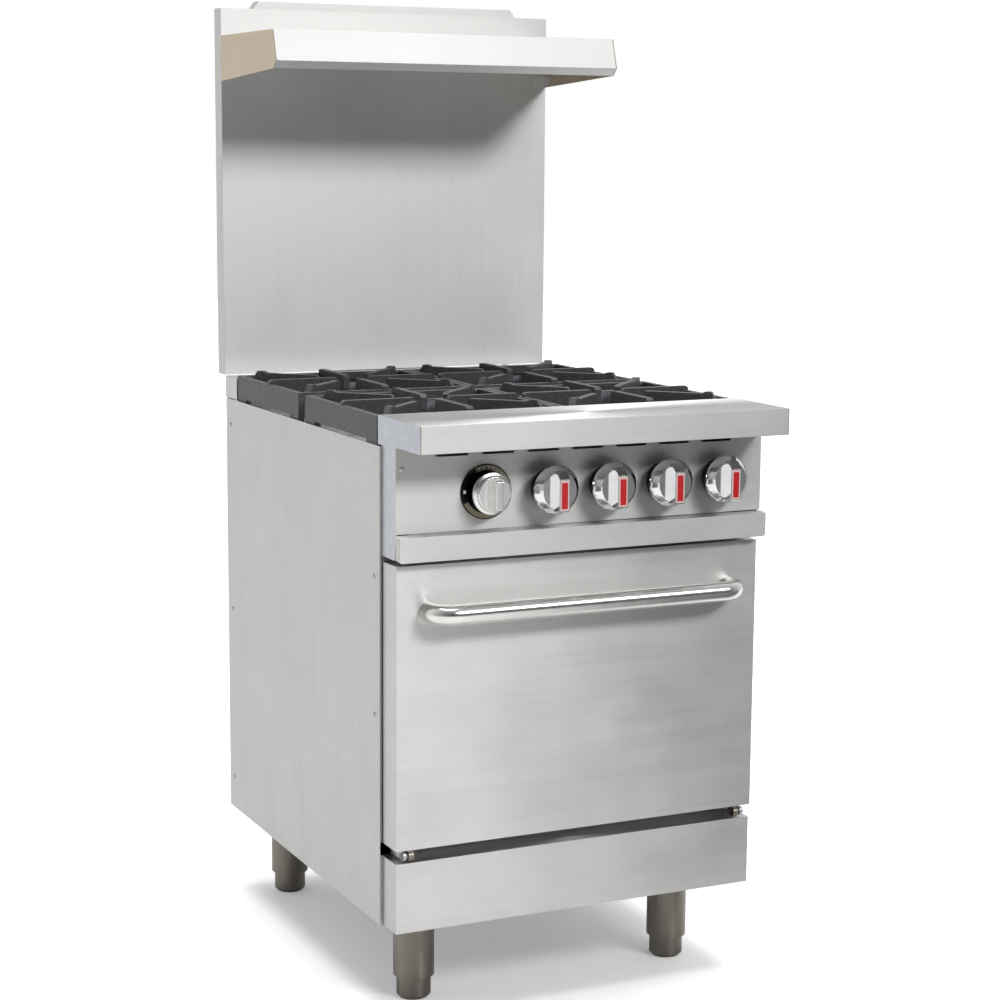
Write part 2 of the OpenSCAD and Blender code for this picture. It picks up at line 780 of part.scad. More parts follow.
// Box section duct that takes the oven's flue gas up inside the backguard
module flue_duct() {
    half = 108;
    wall = 1;
    y0 = back_y;
    y1 = rear_y - sheet - 2;
    inner_y0 = guard_y + 9;
    low_z = flue_z0 - 8;
    high_z = 880;
    throat_y = oven_y1 + liner_t;
    color(galvanised) difference() {
        union() {
            block([-half, y0, low_z], [half, y1, high_z]);
            block([-half, inner_y0, high_z - 10], [half, y1, guard_z1 - 3]);
            block([-flue_half, throat_y, flue_z0], [flue_half, y0 + 1, flue_z1]);
        }
        block([-half + wall, y0 + wall, low_z + wall], [half - wall, y1 - wall, high_z - wall]);
        block([-half + wall, inner_y0 + wall, high_z - 20], [half - wall, y1 - wall, guard_z1]);
        block([-flue_half + wall, throat_y - 1, flue_z0 + wall],
            [flue_half - wall, y0 + wall + 1, flue_z1 - wall]);
    }
}

// Raised hood over the flue outlet, with sloped ends and an open back
module flue_cap() {
    base = 245;
    top = 235;
    y0 = guard_y + 6;
    y1 = rear_y - 2;
    color(steel) difference() {
        translate([0, y1, 0]) rotate([90, 0, 0]) linear_extrude(y1 - y0)
            polygon([[-base, guard_z1], [base, guard_z1], [top, cap_z], [-top, cap_z]]);
        translate([0, y1 + 1, 0]) rotate([90, 0, 0]) linear_extrude(y1 - y0 - sheet + 1)
            polygon([[-base + 4, guard_z1 - 1], [base - 4, guard_z1 - 1],
                [top - 2, cap_z - sheet], [-top + 2, cap_z - sheet]]);
    }
}

// Shelf sheet: flat top, front lip leaning out, and a short return below it
module shelf_top() {
    x = guard_x - sheet - 0.2;
    y1 = guard_y - 0.4;
    y0 = guard_y - shelf_d;
    nose_y = y0 - 15;
    t = sheet;
    color(steel) along_x(-x, x, [
        [y1, shelf_z], [y0, shelf_z], [nose_y, shelf_z - 49], [nose_y + 12, shelf_z - 61],
        [nose_y + 13, shelf_z - 60], [nose_y + t + 0.4, shelf_z - 48.6], [y0 + t, shelf_z - t],
        [y1, shelf_z - t]]);
}

// Gusset plates at both ends of the shelf
module shelf_ends() {
    y0 = guard_y - shelf_d;
    color(steel) both_sides() along_x(guard_x - sheet, guard_x, [
        [guard_y - 0.4, shelf_z], [y0, shelf_z], [y0 - 15, shelf_z - 49], [y0 - 3, shelf_z - 61],
        [guard_y - 0.4, shelf_z - 75]]);
}

// Small angles that fix the gussets to the backguard
module shelf_brackets() {
    z1 = shelf_z - 55;
    color(steel) both_sides() {
        block([guard_x - 28, guard_y - 2, z1 - 20], [guard_x - sheet, guard_y, z1]);
        block([guard_x - sheet - 2, guard_y - 20, z1 - 17], [guard_x - sheet, guard_y, z1]);
    }
}

// ---- Oven door ----

// Outer pan of the door: face, sides, top and bottom returns
module door_skin() {
    back = front_y - 3;
    color(steel) difference() {
        block([-door_x, door_y, door_z0], [door_x, back, door_z1]);
        block([-door_x + sheet, door_y + sheet, door_z0 + sheet],
            [door_x - sheet, back + 1, door_z1 - sheet]);
    }
}

// Inner pan of the door, with the plug that stands in the oven mouth
module door_liner() {
    x = door_x - sheet - 0.2;
    back = front_y - 3;
    plug_x = oven_x - 7;
    plug_y = front_y + 12;
    z0 = door_z0 + sheet + 0.2;
    z1 = door_z1 - sheet - 0.2;
    color(enamel) difference() {
        union() {
            block([-x, back - sheet, z0], [x, back, z1]);
            block([-plug_x, back - sheet, oven_z0 + 6], [plug_x, plug_y, oven_z1 - 14]);
        }
        block([-plug_x + sheet, back - 2, oven_z0 + 6 + sheet],
            [plug_x - sheet, plug_y - sheet, oven_z1 - 14 - sheet]);
    }
}

module door_insulation() {
    color(wool) block([-door_x + 4, door_y + sheet + 0.5, door_z0 + 4],
        [door_x - 4, front_y - 5, door_z1 - 4]);
}

// Flat seal round the plug, on the door's inner face
module door_gasket() {
    outer = 13;
    color([0.30, 0.30, 0.29]) difference() {
        block([-oven_x - outer, front_y - 3, oven_z0 - outer], [oven_x + outer, front_y - 0.4,
            oven_z1 + outer]);
        block([-oven_x - 2, front_y - 4, oven_z0 - 2], [oven_x + 2, front_y + 1, oven_z1 + 2]);
    }
}

// Bent chrome tube: grip bar, two quarter bends and two legs
module door_handle() {
    r = handle_dia / 2;
    bend = 30;
    leg_len = handle_off - bend;
    half = handle_span / 2;
    color(chrome) translate([0, door_y, handle_z]) {
        bar_x([-half + bend, -handle_off, 0], r, 2 * (half - bend));
        both_sides() {
            translate([half - bend, -handle_off + bend, 0]) rotate([0, 0, -90])
                rotate_extrude(angle = 90) translate([bend, 0]) circle(r = r);
            bar_y([half, -leg_len, 0], r, leg_len);
        }
    }
}

// Knuckles under the door, each with its pin
module door_hinges() {
    x0 = 272;
    x1 = 281;
    pin_x1 = 291;
    knuckle_r = 8;
    color(steel) both_sides() {
        bar_x([x0, hinge_y, hinge_z], knuckle_r, x1 - x0);
        block([x0, hinge_y - 4, hinge_z], [x1, hinge_y + 10, door_z0]);
        bar_x([x1 - 2, hinge_y, hinge_z], pin_r, pin_x1 - x1 + 2);
    }
}

// ---- Knobs ----

// Burner knob on its stem: base ring at the panel, hub, tapering skirt, face, and a grip bar
// with a sloping upper end; depths are counted from the base ring's back towards the cook
module burner_knob(index) {
    r = knob_dia / 2;
    gap = 0.5;
    base_r = 28.5;
    hub_r = 25;
    widest = 26.5;
    face_r = 27;
    face = 38.5;
    grip = 17;
    front = 53.5;
    stem_len = 33;
    color(chrome) translate([valve_xs[index], fascia_y - gap, knob_z]) {
        rotate([90, 0, 0]) rotate_extrude($fn = 64)
            polygon([[0, 0], [base_r, 0], [base_r, 2.4], [hub_r, 2.6], [hub_r, widest - 6],
                [r - 2, widest - 4], [r, widest - 2], [r, widest], [face_r + 1, face - 1],
                [face_r, face], [0, face]]);
        translate([-grip / 2, 0, 0]) rotate([90, 0, 90]) linear_extrude(grip)
            polygon([[-widest, -29], [-front + 1, -29], [-front, -28], [-front, 19],
                [-front + 9, 29], [-widest, 29]]);
        bar_y([0, -2, 0], 4, stem_len + 2);
    }
}

// Thermostat knob on its stem: hub, skirt, disc and grip bar, in front of the dial plate
module thermostat_knob() {
    gap = 2.5;
    hub_r = 22;
    skirt_r = 31;
    disc_r = 26;
    disc = 29.5;
    grip = 12;
    grip_r = 21.5;
    front = 46.5;
    stem_len = 30;
    color(chrome) translate([-dial_left, fascia_y - gap, knob_z]) {
        rotate([90, 0, 0]) rotate_extrude($fn = 64)
            polygon([[0, 0], [hub_r, 0], [hub_r, 15], [skirt_r - 1, 16.5], [skirt_r, 17.5],
                [skirt_r, 21], [skirt_r - 1, 22], [disc_r + 0.5, 23], [disc_r, disc - 1],
                [disc_r - 1, disc], [0, disc]]);
        translate([-grip / 2, 0, 0]) rotate([90, 0, 90]) linear_extrude(grip)
            polygon([[-disc + 1, -grip_r], [-front + 1.5, -grip_r], [-front, -grip_r + 1.5],
                [-front, grip_r - 1.5], [-front + 1.5, grip_r], [-disc + 1, grip_r]]);
        bar_y([0, -2, 0], 4, stem_len + 2);
    }
}

// ---- Fasteners ----

// A pan head screw standing on a face; the axis points along +Z before it is placed
module screw_head() {
    r = 4.2;
    shank_r = 1.8;
    rotate_extrude() polygon([[0, -3], [shank_r, -3], [shank_r, 0], [r, 0], [r - 1, screw_h - 0.6],
        [r - 2.2, screw_h], [0, screw_h]]);
}

module screws() {
    front_zs = [463, 669.5];
    rear_zs = [200, 500, 820];
    guard_zs = [920, 1200, 1480];
    color(steel) both_sides() {
        for (z = front_zs) translate([half_w, front_y + 22, z]) rotate([0, 90, 0]) screw_head();
        for (z = rear_zs) translate([half_w, back_y - 22, z]) rotate([0, 90, 0]) screw_head();
        for (z = rear_zs) translate([inner_x - 24, back_y, z]) rotate([-90, 0, 0]) screw_head();
        for (z = guard_zs) translate([guard_x - 14, rear_y, z]) rotate([-90, 0, 0]) screw_head();
    }
    color(steel) translate([-half_w + 11, fascia_y, 836]) rotate([90, 0, 0]) screw_head();
}

// ---- Assembly ----

base_frame();
leg_tubes();
side_panel_left();
side_panel_right();
back_panel();
oven_front_frame();
oven_liner();
oven_deck();
oven_insulation();
rack_guides();
oven_burner();
kick_panel();
hinge_brackets();
fascia();
fascia_cheeks();
landing_ledge();
burner_box();
grate_supports();
rear_rail();
backguard_skin();
backguard_back();
backguard_brackets();
flue_duct();
flue_cap();
shelf_top();
shelf_ends();
shelf_brackets();
gas_manifold();
gas_inlet_pipe();
burner_valves();
burner_venturis();
burner_heads();
pilot_assembly();
thermostat();
oven_gas_line();
oven_safety_valve();
dial_plate();
screws();
door_skin();
door_liner();
door_insulation();
door_gasket();
door_handle();
door_hinges();
crumb_tray();
burner_knob(0);  // burner_knob_1
burner_knob(1);  // burner_knob_2
burner_knob(2);  // burner_knob_3
burner_knob(3);  // burner_knob_4
thermostat_knob();
oven_rack(rack_z[0]);  // oven_rack_lower
oven_rack(rack_z[1]);  // oven_rack_upper
grate(0, 0);  // grate_front_left
grate(1, 0);  // grate_front_right
grate(0, 1);  // grate_rear_left
grate(1, 1);  // grate_rear_right
foot(leg_spots[0]);  // foot_front_left
foot(leg_spots[1]);  // foot_rear_left
foot(leg_spots[2]);  // foot_front_right
foot(leg_spots[3]);  // foot_rear_right
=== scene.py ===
"""Looks of the restaurant gas range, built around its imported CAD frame."""

import math

import bmesh
import bpy
from mathutils import Matrix, Vector


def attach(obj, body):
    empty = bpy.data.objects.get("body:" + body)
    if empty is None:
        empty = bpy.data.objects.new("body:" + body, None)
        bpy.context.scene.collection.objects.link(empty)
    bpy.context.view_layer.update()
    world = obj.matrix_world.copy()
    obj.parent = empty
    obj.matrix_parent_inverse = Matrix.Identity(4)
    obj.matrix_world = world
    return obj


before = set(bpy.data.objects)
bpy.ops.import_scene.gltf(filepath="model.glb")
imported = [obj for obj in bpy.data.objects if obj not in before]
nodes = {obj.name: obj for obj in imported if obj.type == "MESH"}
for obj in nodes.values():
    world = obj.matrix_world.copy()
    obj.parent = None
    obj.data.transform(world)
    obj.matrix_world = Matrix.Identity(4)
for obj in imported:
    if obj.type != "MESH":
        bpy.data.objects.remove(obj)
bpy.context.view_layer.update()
MM = 0.001  # metres in a millimetre


# ---------------------------------------------------------------- camera

CAMERA_PLACE = (-1.5221, -3.2638, 1.2869)
CAMERA_YAW = math.radians(25.43)  # from +Y towards +X
CAMERA_PITCH = math.radians(8.89)  # downwards
CAMERA_ROLL = math.radians(-0.43)
CAMERA_LENS = 80.8  # millimetres, on a 36 mm sensor


def make_camera():
    """The camera stands left of the range's front and a little above its ledge."""
    yaw, pitch, roll = CAMERA_YAW, CAMERA_PITCH, CAMERA_ROLL
    ahead = Vector(
        (math.sin(yaw) * math.cos(pitch), math.cos(yaw) * math.cos(pitch), -math.sin(pitch))
    )
    level = Vector((math.cos(yaw), -math.sin(yaw), 0))
    below = ahead.cross(level)
    right = math.cos(roll) * level + math.sin(roll) * below
    down = math.cos(roll) * below - math.sin(roll) * level
    data = bpy.data.cameras.new("camera")
    data.lens = CAMERA_LENS
    data.sensor_width = 36
    data.clip_end = 100
    camera = bpy.data.objects.new("camera", data)
    bpy.context.scene.collection.objects.link(camera)
    turn = Matrix((right, -down, -ahead)).transposed().to_4x4()
    camera.matrix_world = Matrix.Translation(CAMERA_PLACE) @ turn
    bpy.context.scene.camera = camera


# ---------------------------------------------------------------- node trees


class Shader:
    """A material's node tree with a Principled shader, written one line per node."""

    def __init__(self, name, colour, roughness, metallic=0.0, **sockets):
        self.material = bpy.data.materials.new(name)
        self.material.use_nodes = True
        self.material.diffuse_color = (*colour, 1)
        self.tree = self.material.node_tree
        self.tree.nodes.clear()
        self.shader = self.add("ShaderNodeBsdfPrincipled")
        self.set("Base Color", (*colour, 1))
        self.set("Roughness", roughness)
        self.set("Metallic", metallic)
        for socket, value in sockets.items():
            self.set(socket.replace("_", " "), value)
        output = self.add("ShaderNodeOutputMaterial")
        self.link(self.shader.outputs[0], output.inputs["Surface"])
        self.coords = self.add("ShaderNodeTexCoord").outputs["Object"]

    def add(self, kind, **settings):
        node = self.tree.nodes.new(kind)
        for name, value in settings.items():
            setattr(node, name, value)
        return node

    def link(self, source, target):
        self.tree.links.new(source, target)

    def set(self, socket, value):
        self.shader.inputs[socket].default_value = value

    def feed(self, socket, source):
        self.link(source, self.shader.inputs[socket])

    def stretched(self, scale):
        """Object coordinates with each axis at its own scale, in cycles a metre."""
        mapping = self.add("ShaderNodeMapping")
        mapping.inputs["Scale"].default_value = scale
        self.link(self.coords, mapping.inputs["Vector"])
        return mapping.outputs["Vector"]

    def noise(self, scale, detail=2.0, rough=0.5, vector=None, distortion=0.0):
        node = self.add("ShaderNodeTexNoise")
        node.inputs["Scale"].default_value = scale
        node.inputs["Detail"].default_value = detail
        node.inputs["Roughness"].default_value = rough
        node.inputs["Distortion"].default_value = distortion
        self.link(vector or self.coords, node.inputs["Vector"])
        return node.outputs["Fac"]

    def voronoi(self, scale, output="Distance"):
        node = self.add("ShaderNodeTexVoronoi")
        node.inputs["Scale"].default_value = scale
        self.link(self.coords, node.inputs["Vector"])
        return node.outputs[output]

    def math(self, operation, a, b):
        node = self.add("ShaderNodeMath", operation=operation)
        for socket, value in zip(node.inputs, (a, b)):
            if isinstance(value, (int, float)):
                socket.default_value = value
            else:
                self.link(value, socket)
        return node.outputs[0]

    def ramp(self, source, stops):
        """A colour ramp; each stop is (place, grey) or (place, (r, g, b))."""
        node = self.add("ShaderNodeValToRGB")
        elements = node.color_ramp.elements
        while len(elements) < len(stops):
            elements.new(0.5)
        for element, (place, value) in zip(elements, stops):
            element.position = place
            grey = isinstance(value, (int, float))
            element.color = (value, value, value, 1) if grey else (*value, 1)
        self.link(source, node.inputs["Fac"])
        return node.outputs["Color"]

    def range(self, source, low, high, new_low, new_high):
        node = self.add("ShaderNodeMapRange")
        for name, value in zip(
            ("From Min", "From Max", "To Min", "To Max"), (low, high, new_low, new_high)
        ):
            node.inputs[name].default_value = value
        self.link(source, node.inputs["Value"])
        return node.outputs["Result"]

    def mix(self, factor, a, b, blend="MIX"):
        node = self.add("ShaderNodeMix", data_type="RGBA", blend_type=blend)
        for socket, value in zip((node.inputs[0], node.inputs[6], node.inputs[7]), (factor, a, b)):
            if isinstance(value, (int, float)):
                socket.default_value = value
            elif isinstance(value, tuple):
                socket.default_value = (*value, 1)
            else:
                self.link(value, socket)
        return node.outputs[2]

    def bump(self, height, distance, strength=1.0, under=None):
        node = self.add("ShaderNodeBump")
        node.inputs["Distance"].default_value = distance
        node.inputs["Strength"].default_value = strength
        self.link(height, node.inputs["Height"])
        if under is not None:
            self.link(under, node.inputs["Normal"])
        return node.outputs["Normal"]

    def parts(self):
        """The three object coordinates as separate values."""
        node = self.add("ShaderNodeSeparateXYZ")
        self.link(self.coords, node.inputs[0])
        return node.outputs[0], node.outputs[1], node.outputs[2]


# ---------------------------------------------------------------- metals


def brushed(name, grain, colour, roughness, streak=0.05, cloud=0.05, sheen_ratio=0.85):
    """Sheet stainless steel, ground along one axis, with a faint cloudiness."""
    s = Shader(name, colour, roughness, metallic=1.0, Anisotropic=sheen_ratio,
               Anisotropic_Rotation=0.25)
    s.feed("Tangent", s.add("ShaderNodeTangent", direction_type="RADIAL", axis="Z").outputs[0])
    along, across = 6, 900
    scale = tuple(along if axis == grain else across for axis in "xyz")
    fine = s.noise(1.0, 2.0, 0.6, s.stretched(scale))
    broad_scale = tuple(2 if axis == grain else 90 for axis in "xyz")
    broad = s.noise(1.0, 2.0, 0.6, s.stretched(broad_scale))
    patches = s.noise(7.0, 3.0, 0.55)
    streaks = s.math("ADD", s.math("MULTIPLY", fine, 0.6), s.math("MULTIPLY", broad, 0.4))
    dark = tuple(c * (1 - streak - cloud) for c in colour)
    light = tuple(min(c * (1 + streak + cloud), 1) for c in colour)
    both = s.math(
        "ADD",
        s.math("MULTIPLY", streaks, streak / (streak + cloud)),
        s.math("MULTIPLY", patches, cloud / (streak + cloud)),
    )
    s.feed("Base Color", s.ramp(both, [(0.3, dark), (0.7, light)]))
    s.feed("Roughness", s.range(both, 0.3, 0.7, roughness - 0.05, roughness + 0.05))
    s.feed("Normal", s.bump(fine, 0.00003, 0.6, s.bump(patches, 0.0002, 0.3)))
    return s.material


def galvanised(name, colour, roughness):
    """Zinc-coated sheet: bluish, matt, with small spangles."""
    s = Shader(name, colour, roughness, metallic=1.0)
    flake = s.voronoi(140.0, output="Color")
    grey = s.add("ShaderNodeRGBToBW")
    s.link(flake, grey.inputs[0])
    patches = s.noise(9.0, 3.0)
    half_flake = s.math("MULTIPLY", grey.outputs[0], 0.5)
    value = s.math("ADD", half_flake, s.math("MULTIPLY", patches, 0.5))
    dark, light = tuple(c * 0.86 for c in colour), tuple(c * 1.1 for c in colour)
    s.feed("Base Color", s.ramp(value, [(0.25, dark), (0.75, light)]))
    s.feed("Roughness", s.range(value, 0.25, 0.75, roughness - 0.08, roughness + 0.08))
    s.feed("Normal", s.bump(s.noise(420.0, 2.0), 0.0001, 0.2))
    return s.material


def chrome(name, colour, roughness, smear=0.02):
    """Polished plate with faint handling smears."""
    s = Shader(name, colour, roughness, metallic=1.0)
    smears = s.noise(60.0, 4.0, 0.6, distortion=0.6)
    s.feed("Roughness", s.range(smears, 0.35, 0.75, roughness, roughness + smear))
    dark = tuple(c * 0.93 for c in colour)
    s.feed("Base Color", s.ramp(smears, [(0.3, dark), (0.65, colour)]))
    s.feed("Normal", s.bump(s.noise(240.0, 2.0), 0.00002, 0.15))
    return s.material


def knob_plate(name, colour, roughness, hub_front, smear=0.02):
    """Plated knob whose hub and base ring, behind hub_front, are of black plastic."""
    s = Shader(name, colour, roughness, metallic=1.0)
    _, depth, _ = s.parts()
    black = s.range(depth, hub_front - 0.0002, hub_front + 0.0002, 0.0, 1.0)
    smears = s.noise(60.0, 4.0, 0.6, distortion=0.6)
    dark = tuple(c * 0.93 for c in colour)
    plated = s.ramp(smears, [(0.3, dark), (0.65, colour)])
    s.feed("Base Color", s.mix(black, plated, (0.016, 0.016, 0.018)))
    s.feed("Metallic", s.math("SUBTRACT", 1.0, black))
    rough = s.range(smears, 0.35, 0.75, roughness, roughness + smear)
    s.feed("Roughness", s.math("MAXIMUM", rough, s.math("MULTIPLY", black, 0.42)))
    s.feed("Normal", s.bump(s.noise(240.0, 2.0), 0.00002, 0.15))
    return s.material


def lacquer(name, colour, roughness):
    """Printed or filled paint with a faint mottle."""
    s = Shader(name, colour, roughness, Coat_Weight=0.25, Coat_Roughness=0.15)
    mottle = s.noise(700.0, 3.0, 0.6)
    dark = tuple(c * 0.82 for c in colour)
    s.feed("Base Color", s.ramp(mottle, [(0.3, dark), (0.7, colour)]))
    s.feed("Normal", s.bump(mottle, 0.00004, 0.3))
    return s.material


def cast(name, colour, light, roughness, metallic, grain=900.0, depth=0.00025):
    """Sand-cast iron: a pebbled skin with rubbed, browner high spots."""
    s = Shader(name, colour, roughness, metallic=metallic)
    sand = s.noise(grain, 3.0, 0.65)
    lumps = s.noise(130.0, 3.0, 0.5)
    rubbed = s.math("MULTIPLY", s.range(lumps, 0.5, 0.75, 0.0, 1.0), sand)
    dark = tuple(c * 0.7 for c in colour)
    base = s.ramp(sand, [(0.3, dark), (0.7, colour)])
    s.feed("Base Color", s.mix(rubbed, base, light))
    s.feed("Roughness", s.range(sand, 0.3, 0.7, roughness + 0.1, roughness - 0.08))
    s.feed("Normal", s.bump(sand, depth, 0.55, s.bump(lumps, depth * 2, 0.4)))
    return s.material


def enamel(name):
    """Black porcelain enamel with fine pale specks."""
    s = Shader(name, (0.012, 0.012, 0.016), 0.16, Coat_Weight=0.4, Coat_Roughness=0.06)
    specks = s.range(s.voronoi(420.0), 0.10, 0.16, 1.0, 0.0)
    chosen = s.math("MULTIPLY", specks, s.range(s.noise(160.0, 1.0), 0.5, 0.62, 0.0, 1.0))
    s.feed("Base Color", s.mix(chosen, (0.012, 0.012, 0.016), (0.42, 0.42, 0.46)))
    s.feed("Normal", s.bump(s.noise(70.0, 2.0), 0.0002, 0.2))
    return s.material


def wool(name):
    """Yellowish mineral wool, matted in fibres."""
    s = Shader(name, (0.55, 0.46, 0.26), 0.95, Sheen_Weight=0.3)
    fibres = s.noise(1.0, 5.0, 0.7, s.stretched((180, 180, 900)), distortion=1.5)
    tone = [(0.3, (0.36, 0.28, 0.13)), (0.7, (0.66, 0.58, 0.36))]
    s.feed("Base Color", s.ramp(fibres, tone))
    s.feed("Normal", s.bump(fibres, 0.002, 0.8))
    return s.material


def braid(name):
    """Grey glass-fibre braid of the door seal."""
    s = Shader(name, (0.10, 0.10, 0.095), 0.9)
    wave = s.add("ShaderNodeTexWave", bands_direction="DIAGONAL")
    wave.inputs["Scale"].default_value = 160.0
    wave.inputs["Distortion"].default_value = 1.0
    s.link(s.coords, wave.inputs["Vector"])
    strands = wave.outputs["Fac"]
    s.feed("Base Color", s.ramp(strands, [(0.2, 0.035), (0.8, 0.16)]))
    s.feed("Normal", s.bump(strands, 0.0006, 0.7))
    return s.material


def satin_metal(name, colour, roughness, scale=300.0):
    """Brass, drawn aluminium and plated screws."""
    s = Shader(name, colour, roughness, metallic=1.0)
    mottled = s.noise(scale, 3.0, 0.6)
    dark = tuple(c * 0.8 for c in colour)
    s.feed("Base Color", s.ramp(mottled, [(0.3, dark), (0.7, colour)]))
    s.feed("Roughness", s.range(mottled, 0.3, 0.7, roughness + 0.08, roughness - 0.04))
    s.feed("Normal", s.bump(mottled, 0.0001, 0.15))
    return s.material


# ---------------------------------------------------------------- finishes

STEEL = (0.62, 0.62, 0.61)
BURNER_HUB_FRONT = -0.3772  # Y, metres; the plating starts in front of it
DIAL_HUB_FRONT = -0.3738
FINISHES = {
    "steel_x": brushed("steel_ground_across", "x", STEEL, 0.45, sheen_ratio=0.8),
    "steel_z": brushed("steel_ground_upright", "z", STEEL, 0.52, sheen_ratio=0.75),
    "steel_soft": brushed("steel_soft_sheen", "x", STEEL, 0.55, sheen_ratio=0.7),
    # Painted reflection: the shelf ends get a tan-tinted copy of the steel, standing in for the
    # warm surroundings they mirror.
    "shelf_ends": brushed("shelf_end_painted_reflection", "y", (0.60, 0.51, 0.38), 0.45),
    # Painted shade: the legs' steel is a dark, brownish copy of the sheet steel, standing in for
    # the shade under the range.
    "leg_steel": brushed("leg_steel", "z", (0.24, 0.22, 0.19), 0.34, streak=0.14),
    "galvanised": galvanised("galvanised_sheet", (0.54, 0.56, 0.60), 0.45),
    "chrome": chrome("chrome_plate", (0.86, 0.86, 0.86), 0.07),
    "handle": chrome("handle_tube", (0.80, 0.79, 0.77), 0.20, smear=0.04),
    "burner_knob": knob_plate("burner_knob_plate", (0.84, 0.84, 0.85), 0.10, BURNER_HUB_FRONT),
    "satin_knob": knob_plate("satin_plate", (0.76, 0.77, 0.75), 0.24, DIAL_HUB_FRONT),
    "cast_iron": cast("cast_iron", (0.072, 0.072, 0.076), (0.15, 0.13, 0.11), 0.5, 0.0),
    "burner_cast": cast("burner_cast", (0.34, 0.35, 0.40), (0.5, 0.5, 0.52), 0.45, 0.8, 500.0),
    "enamel": enamel("speckled_enamel"),
    "mineral_wool": wool("mineral_wool"),
    "seal": braid("seal_braid"),
    "black_pipe": cast("black_pipe", (0.025, 0.025, 0.027), (0.06, 0.055, 0.05), 0.38, 0.3),
    "brass": satin_metal("brass", (0.60, 0.43, 0.17), 0.3),
    "aluminium_tube": satin_metal("drawn_aluminium", (0.62, 0.63, 0.65), 0.28),
    "dial_black": satin_metal("dial_black", (0.02, 0.02, 0.02), 0.3),
    "screw_steel": satin_metal("zinc_screws", (0.55, 0.55, 0.54), 0.3),
}
UPRIGHT_GRAIN = {"side_panel_left", "side_panel_right", "backguard_skin"}
# The hinges take the legs' darkened steel, painted shade that dulls their highlight.
OWN_FINISH = {"shelf_ends": "shelf_ends", "door_handle": "handle", "door_hinges": "leg_steel"}
SOFT_SHEEN = {"fascia", "landing_ledge", "crumb_tray", "shelf_top", "flue_cap"}


def finish_of(slot, name):
    if name.startswith("burner_knob"):
        return FINISHES["burner_knob"]
    if name in OWN_FINISH:
        return FINISHES[OWN_FINISH[name]]
    if name in SOFT_SHEEN:
        return FINISHES["steel_soft"]
    if slot == "steel":
        return FINISHES["steel_z" if name in UPRIGHT_GRAIN else "steel_x"]
    return FINISHES[slot]


# ---------------------------------------------------------------- edges


SHARP_ANGLE = math.radians(38)


def shading_group():
    """Geometry nodes that drop the imported normals and smooth all but the sharp edges."""
    group = bpy.data.node_groups.new("edge_shading", "GeometryNodeTree")
    group.interface.new_socket("Geometry", in_out="INPUT", socket_type="NodeSocketGeometry")
    group.interface.new_socket("Geometry", in_out="OUTPUT", socket_type="NodeSocketGeometry")
    made = {}
    for kind in ("NodeGroupInput", "NodeGroupOutput", "GeometryNodeRemoveAttribute",
                 "GeometryNodeInputMeshEdgeAngle", "FunctionNodeCompare"):
        made[kind] = group.nodes.new(kind)
    made["GeometryNodeRemoveAttribute"].inputs["Name"].default_value = "custom_normal"
    faces = group.nodes.new("GeometryNodeSetShadeSmooth")
    edges = group.nodes.new("GeometryNodeSetShadeSmooth")
    edges.domain = "EDGE"
    compare = made["FunctionNodeCompare"]
    compare.operation = "LESS_THAN"
    compare.inputs["B"].default_value = SHARP_ANGLE
    link = group.links.new
    link(made["NodeGroupInput"].outputs[0], made["GeometryNodeRemoveAttribute"].inputs["Geometry"])
    link(made["GeometryNodeRemoveAttribute"].outputs["Geometry"], faces.inputs["Geometry"])
    link(faces.outputs["Geometry"], edges.inputs["Geometry"])
    link(made["GeometryNodeInputMeshEdgeAngle"].outputs["Unsigned Angle"], compare.inputs["A"])
    link(compare.outputs["Result"], edges.inputs["Shade Smooth"])
    link(edges.outputs["Geometry"], made["NodeGroupOutput"].inputs[0])
    return group


SHADING = shading_group()
USUAL_ROUNDING = 0.55  # radius in mm of a part's edges
EDGE_ROUNDING = {  # the same by material, where it isn't the usual one
    "cast_iron": 1.2,
    "burner_cast": 0.8,
    "chrome": 0.5,
    "satin_knob": 0.5,
}


def round_edges(piece, radius):
    """Rounds the sharp edges of a part by modifiers, so that they catch the light."""
    weld = piece.modifiers.new("weld", "WELD")
    weld.merge_threshold = 0.02 * MM
    flat = piece.modifiers.new("flat", "DECIMATE")
    flat.decimate_type = "DISSOLVE"
    flat.angle_limit = math.radians(0.3)
    bevel = piece.modifiers.new("edges", "BEVEL")
    bevel.width = radius * MM
    bevel.segments = 2
    bevel.limit_method = "ANGLE"
    bevel.angle_limit = SHARP_ANGLE
    bevel.use_clamp_overlap = True
    shade = piece.modifiers.new("shading", "NODES")
    shade.node_group = SHADING
    weighted = piece.modifiers.new("normals", "WEIGHTED_NORMAL")
    weighted.keep_sharp = True


def dress_frame():
    """Every CAD part gets its finish and its rounded edges."""
    for name, piece in nodes.items():
        for place in piece.material_slots:
            slot = place.material.name.split(".")[0]
            place.material = finish_of(slot, name)
            round_edges(piece, EDGE_ROUNDING.get(slot, USUAL_ROUNDING))


# ---------------------------------------------------------------- knob trims


KNOB_X = (-0.061, 0.035, 0.131, 0.227)  # metres, as all places and sizes below
KNOB_Z = 0.797
KNOB_FRONT = -0.409
STRIP_DROP = 0.0045  # the strip's frame sits this far below the knob's centre
DIAL_X = -0.162
DIAL_FACE = -0.357
DOT_FACE = -0.3787


